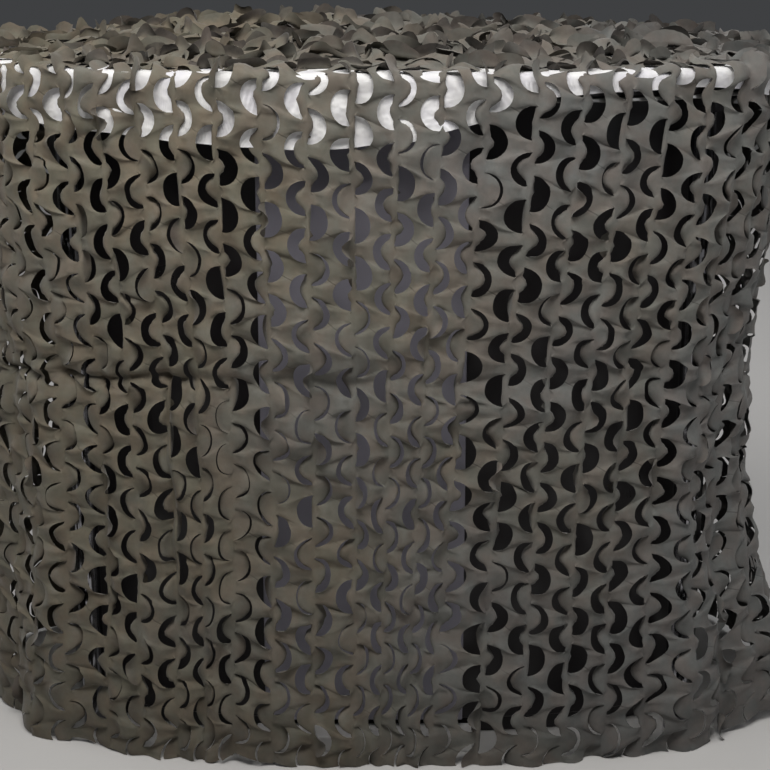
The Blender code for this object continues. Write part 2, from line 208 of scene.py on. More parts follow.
netLattice = {
    "pitch": 0.0431,             # from column to column, as it hangs
    "period": 0.0475,            # from one leaf to the next below it
    "radius": 0.0177,            # of each half-round cut
    "halfSpine": 0.0009,         # from a column's axis to its leaves' fold lines
    "tip": 0.0005,               # from a cut's end to the fold line
    "bridge": 0.0050,            # how far the strip between two cuts bows out
    "neckReach": 0.0085,         # how far the twist of a neck reaches
    "opening": 0.0033,           # how far the hanging net is pulled open across a cut
    "tilt": 0.3,                 # how far the cuts tilt for the lean of their column
    "swing": 0.35,               # how far the spine swings to and fro, of half the opening
    "cutRows": 12,               # rows of faces along a cut
    "stripRows": 4,              # and along the strip between two cuts
    "leafCells": (0.0, 0.18, 0.36, 0.52, 0.68, 0.84, 1.0),
    "ribbonCells": 4,
    "firstLeaf": 0.0193 - 2 * 0.0475,    # the first left-facing leaf's middle, below the table's edge
    "middleColumn": -0.0195,     # the middle column's place round the net
    "columns": 51,
    "periods": 17.5,
    "columnShift": [
        # place, how far the columns there are pushed along
        (-0.330, 0.000), (-0.230, -0.0100), (-0.150, -0.0160), (0.000, -0.0125), (0.110, -0.0097),
        (0.160, -0.0040), (0.330, 0.000),
    ],
    "lean": [
        # place, drift per metre down
        (-1.100, 0.000), (-0.700, 0.000), (-0.450, 0.030), (-0.330, 0.043), (-0.240, 0.045),
        (-0.180, 0.015), (-0.030, 0.000), (0.100, -0.075), (0.330, -0.080), (0.450, -0.050),
        (0.700, 0.000), (1.100, 0.000),
    ],
    "sag": [
        # place, how much lower the rows lie
        (-1.100, 0.010), (-0.700, 0.010), (-0.450, 0.020), (-0.330, 0.017), (-0.240, 0.004),
        (-0.180, 0.000), (0.100, 0.025), (0.240, 0.040), (0.330, 0.056), (0.450, 0.060),
        (0.700, 0.040), (1.100, 0.020),
    ],
}


def hangOutlines(hang):
    # the plan outline and its outward normals at each section, top row first, and the way round the top
    cuts = [roundedOutline(*row[1:], hang["sharpness"], hang["outlineSteps"]) for row in hang["sections"]]
    return {
        "heights": np.array([row[0] for row in hang["sections"]]),
        "points": np.stack([cut[0] for cut in cuts]),
        "normals": np.stack([cut[1] for cut in cuts]),
        "round": cuts[0][2],
    }


netHang.update(hangOutlines(netHang))


def creaseDepth(hang, place, height):
    # each crease is a soft trough along a straight run that wavers a little and fades out at its two ends
    depth = np.zeros_like(place)
    fade = hang["creaseFade"]
    waver, perAlong, perPlace = hang["waver"]
    for fromPlace, fromHeight, toPlace, toHeight, halfWidth, deep in hang["creases"]:
        run = np.array([toPlace - fromPlace, toHeight - fromHeight])
        length = np.linalg.norm(run)
        run = run / length
        east, north = wrapped(place, fromPlace, hang["round"]), height - fromHeight
        along = east * run[0] + north * run[1]
        away = -east * run[1] + north * run[0]
        away = away + waver * np.sin(along * perAlong + fromPlace * perPlace)
        ends = smoothStep((along + fade / 2.0) / fade) * smoothStep((length + fade / 2.0 - along) / fade)
        depth += deep * bump(away, halfWidth) * ends
    return depth


def drapeSkirt(hang, lattice, place, down, off):
    # the net round the table: place round it, distance down from the edge and distance off the cloth.
    # inwards of the edge it lies flat, then turns through a quarter circle, then hangs: the height gives
    # the plan outline between two sections, and folds and creases push it along the outward normal
    around = hang["round"]
    place = place + readShort(lattice["columnShift"], wrapped(place, 0.0, around))
    near = wrapped(place, 0.0, around)
    down = down + readShort(lattice["sag"], near)
    near = wrapped(place + readShort(lattice["lean"], near) * down, 0.0, around)
    lift = np.zeros_like(near)
    for at, halfWidth, height in hang["hemLifts"]:
        lift = lift + height * bump(wrapped(near, at, around), halfWidth)
    lowest = hang["hemHeight"] + lift
    full = lattice["firstLeaf"] - lattice["radius"] + lattice["periods"] * lattice["period"]
    full = full + readShort(lattice["sag"], near)
    turnRound = hang["edgeRound"]
    share = smoothStep((down - turnRound) / (full - turnRound))
    height = hang["edgeHeight"] - down
    height = height + share * (lowest - (hang["edgeHeight"] - full))
    quarter = turnRound * math.pi / 2.0
    turn = np.clip((down - (turnRound - quarter)) / quarter, 0.0, 1.0) * math.pi / 2.0
    isTurning = turn < math.pi / 2.0
    inset = np.where(isTurning, turnRound * (1.0 - np.sin(turn)), 0.0)
    inset = inset + np.maximum(turnRound - quarter - down, 0.0)
    height = np.where(isTurning, hang["edgeHeight"] - turnRound * (1.0 - np.cos(turn)), height)
    heights = hang["heights"]
    row = np.interp(-height, -heights, np.arange(len(heights)))
    column = (near / around) * hang["points"].shape[1]
    plan = readTable(hang["points"], row, column)
    normal = readTable(hang["normals"], row, column)
    normal = normal / np.linalg.norm(normal, axis=-1, keepdims=True)
    shareDown = np.clip(1.0 - height / heights[0], 0.0, 1.0)
    push = np.zeros_like(near) - hang["inset"]
    for at, halfWidth, top, hem, drift in hang["folds"]:
        away = wrapped(near, at + drift * shareDown, around)
        push = push + (top + (hem - top) * shareDown ** hang["foldPower"]) * bump(away, halfWidth)
    push = push - creaseDepth(hang, near, height) - inset + off * np.sin(turn)
    height = height + off * np.cos(turn)
    return np.concatenate([plan + normal * push[..., None], height[..., None]], axis=-1)


def flatPitch(lattice):
    # from column to column in the flat cloth: the hanging pitch less what each column is pulled open
    return lattice["pitch"] - lattice["opening"]


def leafRows(lattice):
    # the rows of one period, some along the half circle and some along the strip below it, as height from
    # a leaf's middle, the cut's distance from the fold line, how far along the leaf the row is, -1 to 1
    # and pastLeaf on the strip, and the height that a tilt of the cut works on
    pastLeaf = 2.0
    radius, period, tip = lattice["radius"], lattice["period"], lattice["tip"]
    turn = np.linspace(-math.pi / 2.0, math.pi / 2.0, lattice["cutRows"] + 1)
    gap = np.arange(1, lattice["stripRows"]) / lattice["stripRows"]
    height = np.concatenate([radius * np.sin(turn), radius + gap * (period - 2.0 * radius)])
    bow = tip + lattice["bridge"] * np.sin(math.pi * gap)
    reach = np.concatenate([tip + (radius - tip) * np.cos(turn), bow])
    along = np.concatenate([np.sin(turn), np.full(len(gap), pastLeaf)])
    slant = np.concatenate([radius * np.sin(turn), radius * (1.0 - 2.0 * gap)])
    return height, reach, along, slant


# angles are inwards, in radians
netLeaf = {
    "inwards": (0.06, 1.35),     # the least and the most that a leaf is pushed in
    "outwards": (0.5, 1.1),      # the same of a leaf turned out
    "wideOpen": (1.3, 1.7),      # and of a leaf pushed in that stands wide open
    "usualAngle": 0.84,          # at which a cut is pulled open as far as drawn
    "openings": (0.0008, 0.007),         # the least and the most that a cut is pulled open
    "draws": {
        "twist": ("normal", 0.0, 0.28),          # how much further one end turns than the other
        "ends": ("even", 0.3, 2.3),              # how much further both ends turn than the middle
        "rest": ("even", -0.34, 0.38),           # slope of the part that stays flat, of the angle
        "neck": ("normal", 0.0, 0.32),
        "bend": ("even", 0.15, 0.45),            # over how much of the leaf it bends
        "back": ("even", 1.2, 2.2),              # how far the folded lobe turns back
        "curl": ("normal", 0.0, 18.0),           # for each metre out from the fold line
        "cup": ("normal", 0.0, 0.0021),
        "raise": ("normal", 0.0014, 0.0013),     # of the cloth's own edge beside the cut
        "dip": ("even", -0.0006, 0.0026),        # of the spine
        "crown": ("normal", 0.0009, 0.0012),     # of the ribbon
        "opening": ("normal", netLattice["opening"], 0.0010),
        "outerTint": ("even", 0.2, 0.8),         # of leaves turned out
        "tint": ("even", 0.0, 0.35),
        "shade": ("normal", 0.0, 0.50),
    },
    "endPower": 60,              # how suddenly a leaf is held at its two ends
    "rimShare": 1.15,            # how far the fold line comes in from the cut, of the radius
    "foldLimit": 0.95,
    "softness": (0.1, 0.42),     # the least and the most of the leaf over which it folds
    "restRun": 0.5,              # the share of the leaf over which its flat part takes its slope
    "unevenLimit": 1.8,
    "turnLimit": 2.6,
    "cupEven": 0.4,              # square of the place along the leaf where its cup is level
    "tintRun": 0.7,              # the share of the leaf over which tint and shade grow
}


def drawLeaves(form, seed, angle, spread, turnedOut, wide):
    # each leaf's own bend, drawn once for the whole sheet: its angle is the mean with a normal spread,
    # and a share of the leaves is turned out or wide open instead
    draw = np.random.default_rng(seed)
    shape = angle.shape
    bent = np.clip(angle + draw.normal(0.0, 1.0, shape) * spread, *form["inwards"])
    kind = draw.random(shape)
    bent = np.where(kind < turnedOut, -draw.uniform(*form["outwards"], shape), bent)
    bent = np.where(kind > 1.0 - wide, draw.uniform(*form["wideOpen"], shape), bent)
    leaves = {"angle": bent, **drawTable(draw, form["draws"], shape)}
    leaves["opening"] = np.clip(leaves["opening"] * angle / form["usualAngle"], *form["openings"])
    leaves["tint"] = np.where(bent < 0.0, leaves.pop("outerTint"), leaves["tint"])
    return leaves


def bentLeaf(form, radius, reach, along, leaf, cells):
    # a leaf pushed in stays nearly flat and folds back along a line that follows its round edge, so that
    # a smaller lobe shows; a leaf turned out bends beside its fold line. Either way one end may turn
    # further than the other, and the steps outwards and inwards are summed cell by cell
    across = reach[:, None, None] * cells
    step = np.diff(across, axis=-1)
    middle = (cells[1:] + cells[:-1]) / 2.0
    along = np.clip(along, -1.0, 1.0)[:, None]
    held = 1.0 - np.abs(along) ** form["endPower"]
    uneven = 1.0 + leaf["ends"] * along ** 2 + leaf["twist"] * along
    rim = form["rimShare"] * radius * (1.0 - np.cos(leaf["angle"])) * uneven
    fold = np.clip(1.0 - rim / reach[:, None], 0.0, form["foldLimit"])
    soft = np.clip(leaf["bend"] * radius / reach[:, None], *form["softness"])
    turned = smoothStep((middle - fold[..., None]) / soft[..., None])
    resting = (leaf["angle"] * leaf["rest"])[..., None] * smoothStep(middle / form["restRun"])
    pushedIn = resting + (leaf["back"][..., None] - resting) * turned
    turnedOut = leaf["angle"] * np.minimum(uneven, form["unevenLimit"])
    turnedOut = turnedOut[..., None] * smoothStep(middle / leaf["bend"][..., None])
    angle = np.where(leaf["angle"][..., None] > 0.0, pushedIn, turnedOut)
    angle = angle + leaf["curl"][..., None] * reach[:, None, None] * middle
    angle = np.clip(angle * held[..., None], -form["turnLimit"], form["turnLimit"])
    outwards = np.cumsum(np.cos(angle) * step, axis=-1)
    inwards = np.cumsum(np.sin(angle) * step, axis=-1)
    start = np.zeros(outwards.shape[:-1] + (1,))
    cup = (leaf["cup"] * held * (along ** 2 - form["cupEven"]))[..., None] * cells ** 2
    outwards = np.concatenate([start, outwards], axis=-1)
    return outwards, np.concatenate([start, inwards], axis=-1) + cup, held


def spineSwing(lattice, firstLeaf, distance):
    # the spine lies over to the right beside a left leaf and to the left beside a right leaf, with a
    # smooth step between them
    half = lattice["period"] / 2.0
    near = np.abs((distance - firstLeaf + half) % lattice["period"] - half)
    slack = half - lattice["radius"]
    return lattice["swing"] * (1.0 - 2.0 * smoothStep((near - slack) / (lattice["radius"] - slack)))


def cutSheet(lattice, form, axes, rows, firstLeaf, leaves, tilt, around=None):
    # the flat cut cloth, opened: one group of lines for each column, from its left cut over the leaf, the
    # spine and the other leaf to its right cut, and then the ribbon to the next column, which round a
    # closed sheet is the first one again. Rows on the left follow the left-facing leaves and rows on the
    # right are half a period further on. Each point has its distance across, down and off the cloth, its
    # tint, shade and flat distance across
    columns, period = len(axes), lattice["period"]
    cells = np.array(lattice["leafCells"])
    height, reach, along, slant = leafRows(lattice)
    row = np.arange(rows + 1)
    half = period / 2.0
    perPeriod = len(height)
    sides = []
    for side, (shifted, back) in enumerate(((row, 0.0), (row + perPeriod // 2, half))):
        step, at = shifted // perPeriod, shifted % perPeriod
        middle = firstLeaf + step * period - back
        leaf = {name: value[step, :, side] for name, value in leaves.items()}
        isCut = (at > 0) & (at < lattice["cutRows"])
        sides.append((middle + height[at], reach[at], along[at], leaf, isCut, slant[at]))
    nearest = (row + perPeriod // 4) // perPeriod
    opening = leaves["opening"][nearest, :, 0] / 2.0
    dip = leaves["dip"][nearest, :, 0]
    spine = lattice["halfSpine"]
    zero = np.zeros((rows + 1, columns))
    lines = []
    for facing, (distance, out, alongLeaf, leaf, _, slanted) in zip((-1.0, 1.0), sides):
        outwards, inwards, held = bentLeaf(form, lattice["radius"], out, alongLeaf, leaf, cells)
        rest = spineSwing(lattice, firstLeaf, distance)[:, None, None]
        shift = rest + (-facing - rest) * cells * held[..., None]
        lean = slanted[:, None] * tilt
        across = facing * (spine + outwards) + shift * opening[..., None] + lean[..., None]
        off = -dip[..., None] * (1.0 - cells * (1.0 - held[..., None])) - inwards
        flat = facing * (spine + out[:, None, None] * cells) + np.zeros_like(across)
        grown = smoothStep(cells / form["tintRun"]) * held[..., None]
        tint, shade = leaf["tint"][..., None] * grown, leaf["shade"][..., None] * grown
        distance = distance[:, None] + zero
        leafLines = [
            (across[..., j], distance, off[..., j], tint[..., j], shade[..., j], flat[..., j])
            for j in range(len(cells))
        ]
        raised = leaf["raise"] * np.where(np.abs(alongLeaf) < 1.0, 1.0 - alongLeaf ** 2, 0.0)[:, None]
        edge = facing * (spine + out[:, None]) + facing * opening + lean
        lines.append((leafLines, (edge, distance, raised, zero, zero, flat[..., -1])))
    down = (sides[0][0] + sides[1][0])[:, None] / 2.0
    leaned = (sides[0][5] + sides[1][5])[:, None] * tilt / 2.0
    middleAcross = spineSwing(lattice, firstLeaf, down) * opening + leaned
    middleLine = (middleAcross, down + zero, -dip, zero, zero, zero)
    (leftLeaf, leftEdge), (rightLeaf, rightEdge) = lines
    ordered = [leftEdge, *leftLeaf[::-1], middleLine, *rightLeaf, rightEdge]
    table = np.stack([np.stack([part + zero for part in line], axis=-1) for line in ordered], axis=2)
    # the neck between two leaves is twisted: it slopes from side to side, each by its own amount
    fromNeck = (down - firstLeaf) % half - half / 2.0
    isUpper = (down - firstLeaf) // half % 2 == 0
    neck = np.where(isUpper, leaves["neck"][nearest, :, 0], leaves["neck"][nearest, :, 1])
    neck = neck * bump(fromNeck, lattice["neckReach"])
    reachOut = lattice["neckReach"] * np.tanh(table[..., 0] / lattice["neckReach"])
    table[..., 2] += neck[..., None] * reachOut
    table[..., 0] += np.asarray(axes)[None, :, None]
    table[..., 5] += (np.arange(columns) * flatPitch(lattice))[None, :, None]
    following = np.roll(table[:, :, :1], -1, axis=1)
    if around is not None:
        following[:, -1, :, 0] += around
        following[:, -1, :, 5] += columns * flatPitch(lattice)
    ribbon = np.arange(1, lattice["ribbonCells"]) / lattice["ribbonCells"]
    between = table[:, :, -1:] * (1.0 - ribbon)[:, None] + following * ribbon[:, None]
    crown = leaves["crown"][nearest, :, 0][..., None]
    between[..., 2] += crown * (4.0 * ribbon * (1.0 - ribbon))
    return np.concatenate([table, between], axis=2), np.stack([sides[0][4], sides[1][4]])


def sheetQuads(lattice, table, isCut):
    # quads between neighbouring lines and rows, as [row, column, line, corner], with none across a cut;
    # where a row isn't cut, the two lines along the cut are one. The last column joins up with the first
    rows, columns, count = table.shape[:3]
    index = np.arange(rows * columns * count).reshape(rows, columns, count)
    joined = index.copy()
    inner = count - 1 - lattice["ribbonCells"]           # the line just inside the right cut
    joined[:, :, 1] = np.where(isCut[0][:, None], index[:, :, 1], index[:, :, 0])
    joined[:, :, inner] = np.where(isCut[1][:, None], index[:, :, inner], index[:, :, inner + 1])
    wide = np.concatenate([joined, np.roll(joined[:, :, :1], -1, axis=1)], axis=2)
    here = np.array([line for line in range(count) if line not in (0, inner)])
    upper, lower = wide[:-1], wide[1:]
    corners = [upper[:, :, here], lower[:, :, here], lower[:, :, here + 1], upper[:, :, here + 1]]
    return np.stack(corners, axis=-1)


def addMesh(name, points, faces, finish):
    # only the points that the faces use go into the mesh; gives the object, the old numbers of its points
    # and its faces in new numbers
    used, inverse = np.unique(faces, return_inverse=True)
    faces = inverse.reshape(faces.shape)
    mesh = bpy.data.meshes.new(name)
    sides = faces.shape[1]
    mesh.vertices.add(len(used))
    mesh.vertices.foreach_set("co", points[used].astype(np.float32).ravel())
    mesh.loops.add(faces.size)
    mesh.loops.foreach_set("vertex_index", faces.astype(np.int32).ravel())
    mesh.polygons.add(len(faces))
    mesh.polygons.foreach_set("loop_start", np.arange(0, faces.size, sides, dtype=np.int32))
    mesh.polygons.foreach_set("use_smooth", np.ones(len(faces), dtype=bool))
    mesh.update(calc_edges=True)
    mesh.materials.append(finish)
    piece = bpy.data.objects.new(name, mesh)
    bpy.context.scene.collection.objects.link(piece)
    return piece, used, faces


def addNumbers(piece, name, values):
    # one number for each point, which the material reads
    piece.data.attributes.new(name, "FLOAT", "POINT").data.foreach_set("value", values.astype(np.float32))


def addMap(piece, name, flat, faces):
    # a UV map from each point's flat place
    layer = piece.data.uv_layers.new(name=name, do_init=False)
    layer.uv.foreach_set("vector", flat[faces.ravel()].astype(np.float32).ravel())


def fittedMap(flat, margin=0.01):
    # the flat cloth scaled into the unit square with a small margin
    low, high = flat.min(axis=0), flat.max(axis=0)
    return margin + (1.0 - 2.0 * margin) * (flat - low) / (high - low)


def netPiece(name, table, faces, points, finish):
    # one joined mesh of the cut cloth with its tints and its flat map, across and up
    piece, used, faces = addMesh(name, points.reshape(-1, 3), faces, finish)
    rows = table.reshape(-1, table.shape[-1])[used]
    addNumbers(piece, "leafTint", rows[:, 3])
    addNumbers(piece, "leafShade", rows[:, 4])
    flat = rows[:, [5, 1]] * np.array([1.0, -1.0])
    addMap(piece, "OFBake", fittedMap(flat), faces)
    addMap(piece, "clothFlat", flat, faces)
    return piece


def arithmetic(operation, isReflected=False):
    # an operator on Value that adds one Math node, its two numbers changed over when it is reflected
    def worked(self, other):
        first, second = (other, self) if isReflected else (self, other)
        return self.finish.maths(operation, first, second)
    return worked


class Value:
    # one output socket, so that shader maths reads as arithmetic
    __add__ = arithmetic("ADD")
    __radd__ = arithmetic("ADD", True)
    __sub__ = arithmetic("SUBTRACT")
    __rsub__ = arithmetic("SUBTRACT", True)
    __mul__ = arithmetic("MULTIPLY")
    __rmul__ = arithmetic("MULTIPLY", True)

    def __init__(self, finish, socket):
        self.finish, self.socket = finish, socket

    def other(self, output):
        # another output of the same node
        return Value(self.finish, self.socket.node.outputs[output])


class Finish:
    # a material with one Principled shader; plain values go on its own sockets
    def __init__(self, name, **plain):
        self.material = bpy.data.materials.new(name)
        self.material.use_nodes = True
        self.tree = self.material.node_tree
        self.shader = self.tree.nodes["Principled BSDF"]
        for socket, value in plain.items():
            self.shader.inputs[socket.replace("_", " ")].default_value = value

    def put(self, socket, value):
        # a link for a Value, otherwise the socket's own value, and a colour is made solid
        if isinstance(value, Value):
            self.tree.links.new(value.socket, socket)
        elif socket.type == "RGBA" and len(value) == 3:
            socket.default_value = (*value, 1.0)
        else:
            socket.default_value = value

    def node(self, kind, settings=None, sockets=None, output=0):
        # any node: its type, its settings first and then its sockets
        made = self.tree.nodes.new("ShaderNode" + kind)
        for name, value in (settings or {}).items():
            setattr(made, name, value)
        for name, value in (sockets or {}).items():
            self.put(made.inputs[name], value)
        return Value(self, made.outputs[output])

    def maths(self, operation, *values):
        # one Math node on one, two or three numbers
        return self.node("Math", {"operation": operation}, dict(enumerate(values)))

    def mix(self, factor, first, second, blend="MIX"):
        # first at factor 0, second or the blend of the two at factor 1
        settings = {"data_type": "RGBA", "blend_type": blend}
        return self.node("Mix", settings, {0: factor, 6: first, 7: second}, 2)

    def noise(self, vector, scale, detail=3.0, rough=0.5):
        # smooth noise, about 0.5 in the mean, scale times to the metre
        sockets = {"Vector": vector, "Scale": scale, "Detail": detail, "Roughness": rough}
        return self.node("TexNoise", {}, sockets)

    def number(self, name):
        # the piece's own number for each point
        return self.node("Attribute", {"attribute_name": name}, {}, "Fac")

    def place(self):
        # Object coordinates, in metres
        return self.node("TexCoord", {}, {}, "Object")

    def flatMap(self):
        # the place in the flat cloth, in metres
        return self.node("UVMap", {"uv_map": "clothFlat"})

    def split(self, vector):
        # x of a vector, with y and z as the other outputs
        return self.node("SeparateXYZ", {}, {0: vector})

    def limited(self, value, low, high):
        # 0 at low to 1 at high, flat outside
        return self.node("MapRange", {}, {"Value": value, "From Min": low, "From Max": high})

    def bumped(self, height, strength, distance):
        # the normal of a height, which is a share of the distance
        return self.node("Bump", {}, {"Height": height, "Strength": strength, "Distance": distance}, "Normal")

    def shade(self, **sockets):
        # the varying inputs of the shader; gives the material
        for name, value in sockets.items():
            self.put(self.shader.inputs[name.replace("_", " ")], value)
        return self.material


def weaveOf(finish, vector, thread):
    # two crossing sets of threads, each a sine of the distance across it
    across = finish.split(vector)
    turns = 2.0 * math.pi / thread
    return finish.maths("SINE", across * turns) * finish.maths("SINE", across.other(1) * turns)


netLook = {
    "olive": (0.150, 0.131, 0.098),
    "grey": (0.137, 0.132, 0.127),
    "mauve": (0.104, 0.089, 0.079),
    "dust": (0.225, 0.218, 0.204),
    "warm": (1.0, 0.945, 0.915),         # each a small change of tone over the cloth
    "cool": (0.935, 0.985, 0.985),
    "greyer": 0.80,              # how fast olive gives way to grey, for each metre to the right
    "dusty": 0.32,
    "light": 1.03,
    "leafShade": 0.26,
    "speckle": 0.38,
    "grain": (0.94, 0.12),       # the least, and how much the noise adds
    "hem": (0.67, 0.62),         # painted shade: how bright the cloth still is at the hem, and the height of full light
    "paintedLowShade": (0.20, 0.02, 0.09),          # painted shade at the bottom: how dark, up to which height in full, and where it has ended
    "thread": 0.0011,
    "relief": (0.12, 0.9, 1.2),          # of the weave, the soft lumps and the pressed lines
    # painted shade in the pressed-in lines: how much darker they are
    "linePaintedShade": 0.28,
    "lineWidth": (0.0002, 0.0011),       # from a pressed line's middle: full up to, and none from
    "lineLength": (0.0050, 0.0085),
}


def creaseLines(finish, flat, lattice, look):
    # short pressed-in lines across each ribbon where it is narrowest, for relief and painted shade: the
    # distance from a slanting line through the middle of each cell of the cut pattern, kept only near
    # that middle
    pitch, period = flatPitch(lattice), lattice["period"]
    sideways = finish.split(flat)
    slant = math.hypot(pitch, period / 2.0)
    east, north = pitch / slant, -period / 2.0 / slant
    top = -lattice["firstLeaf"] + period / 4.0
    x = finish.maths("WRAP", sideways, pitch, 0.0) - pitch / 2.0
    y = finish.maths("WRAP", sideways.other(1), top + period / 2.0, top - period / 2.0) - top
    away = finish.maths("ABSOLUTE", x * north - y * east)
    along = finish.maths("ABSOLUTE", x * east + y * north)
    line = 1.0 - finish.limited(away, *look["lineWidth"])
    return line * (1.0 - finish.limited(along, *look["lineLength"]))


def netFinish(look, lattice):
    # matt coated cloth: khaki to grey along the net, patchy and dusty, a little darker towards the hem,
    # both there and at the very bottom by painted shade, with a fine weave and pressed-in lines across the
    # ribbons, which painted shade darkens
    finish = Finish("net cloth", Specular_IOR_Level=0.25, Sheen_Weight=0.12, Sheen_Roughness=0.45)
    place, flat = finish.place(), finish.flatMap()
    across = finish.split(place)
    height = across.other(2)
    patches = finish.limited(finish.noise(place, 5.0, 3.0) + across * look["greyer"], 0.30, 0.78)
    colour = finish.mix(patches, look["olive"], look["grey"])
    colour = finish.mix(finish.number("leafTint"), colour, look["mauve"])
    dusty = finish.limited(finish.noise(place, 38.0, 5.0, 0.62), 0.50, 0.78)
    colour = finish.mix(dusty * look["dusty"], colour, look["dust"])
    warmth = finish.limited(finish.noise(place, 42.0, 3.0), 0.38, 0.62)
    colour = finish.mix(1.0, colour, finish.mix(warmth, look["warm"], look["cool"]), "MULTIPLY")
    # leafShade holds each leaf's own lighter or darker tone, with painted shade along creases and on the top
    light = look["light"] + finish.number("leafShade") * look["leafShade"]
    light = light + (finish.noise(place, 150.0, 2.0) - 0.5) * look["speckle"]
    grain = look["grain"][0] + finish.noise(flat, 900.0, 2.0) * look["grain"][1]
    lines = creaseLines(finish, flat, lattice, look)
    lines = lines * finish.limited(finish.noise(place, 26.0, 1.0), 0.45, 0.60)
    # the pressed-in lines are darkened as painted shade
    light = light * grain * (1.0 - lines * look["linePaintedShade"])
    # painted shade: the cloth is darker towards the hem
    paintedShadeHemLevel, fullHeight = look["hem"]
    light = light * (paintedShadeHemLevel + finish.limited(height, 0.0, fullHeight) * (1.0 - paintedShadeHemLevel))
    # painted shade: darker still over the lowest few centimetres
    paintedLowShade, upTo, ended = look["paintedLowShade"]
    light = light * (1.0 - paintedLowShade + finish.limited(height, upTo, ended) * paintedLowShade)
    shade = finish.node("CombineColor", {}, {0: light, 1: light, 2: light})
    colour = finish.mix(1.0, colour, shade, "MULTIPLY")
    soft = finish.noise(place, 95.0, 3.0)
    weaveHigh, softHigh, linesDeep = look["relief"]
    relief = weaveOf(finish, flat, look["thread"]) * weaveHigh + soft * softHigh - lines * linesDeep
    normal = finish.bumped(relief, 0.35, 0.0012)
    return finish.shade(Base_Color=colour, Roughness=0.74 + soft * 0.16, Normal=normal)


def whiteFinish():
    # smooth white tablecloth with pressed-in creases, painted shade in their hollows, and a fine weave
    finish = Finish("white cloth", Sheen_Weight=0.1)
    place = finish.place()
    folds = finish.noise(place, 24.0, 3.0, 0.6)
    weave = weaveOf(finish, place, 0.0007)
    # darker lavender where the fold noise is low, in the hollows of the creases: painted shade
    colour = finish.mix(finish.limited(folds, 0.36, 0.56), (0.82, 0.805, 0.845), (0.95, 0.94, 0.935))
    normal = finish.bumped(folds + weave * 0.02, 0.7, 0.013)
    return finish.shade(Base_Color=colour, Roughness=0.78 + folds * 0.1, Normal=normal)


def glossFinish():
    # gloss black laminate with faint smears and hairline rubs
    finish = Finish("black gloss", Specular_IOR_Level=0.5)
    place = finish.place()
    smears = finish.noise(place, 9.0, 4.0)
    rubs = finish.limited(finish.noise(place, 260.0, 2.0, 0.7), 0.62, 0.80)
    colour = finish.mix(rubs * 0.35, (0.0165, 0.0140, 0.0150), (0.034, 0.032, 0.035))
    return finish.shade(Base_Color=colour, Roughness=0.22 + smears * 0.18 + rubs * 0.2)


def boardFinish(name, low, high, rough):
    # flat painted board: mottled, with a fine orange-peel
    finish = Finish(name)
    place = finish.place()
    mottle = finish.noise(place, 11.0, 4.0)
    colour = finish.mix(finish.limited(mottle, 0.35, 0.68), low, high)
    peel = finish.bumped(finish.noise(place, 480.0, 2.0), 0.2, 0.0004)
    return finish.shade(Base_Color=colour, Roughness=rough + mottle * 0.12, Normal=peel)


def metalFinish(name, colour, dull, rough, drawn):
    # drawn metal: fine lines along its length and cloudy handling marks
    finish = Finish(name, Metallic=1.0)
    place = finish.place()
    stretched = finish.node("VectorMath", {"operation": "MULTIPLY"}, {0: place, 1: drawn})
    lines = finish.noise(stretched, 1.0, 2.0)
    marks = finish.limited(finish.noise(place, 22.0, 4.0), 0.45, 0.75)
    mixed = finish.mix(marks * 0.5, colour, dull)
    return finish.shade(Base_Color=mixed, Roughness=rough + marks * 0.12 + lines * 0.08)


print("finishes")
netCloth = netFinish(netLook, netLattice)
whiteCloth = whiteFinish()
blackGloss = glossFinish()
greyBoard = boardFinish("grey board", (0.285, 0.274, 0.325), (0.325, 0.312, 0.365), 0.5)
paleBoard = boardFinish("pale board", (0.58, 0.57, 0.56), (0.66, 0.65, 0.64), 0.4)
paleMetal = metalFinish("pale metal", (0.74, 0.73, 0.71), (0.58, 0.57, 0.55), 0.24, (40.0, 40.0, 900.0))
polished = metalFinish("polished steel", (0.30, 0.30, 0.32), (0.22, 0.22, 0.24), 0.08, (700.0, 700.0, 6.0))

tableFinishes = {
    "table_top": blackGloss,
    "table_trim": paleMetal,
    "cabinet": blackGloss,
    "plinth": blackGloss,
    "front_panel": greyBoard,
    "foot_plate": paleBoard,
}
for corner in ("front_left", "front_right", "back_left", "back_right"):
    tableFinishes[corner + "_post"] = polished
    tableFinishes[corner + "_socket"] = blackGloss
for node, finish in tableFinishes.items():
    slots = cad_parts[node].data.materials
    slots.clear()
    slots.append(finish)


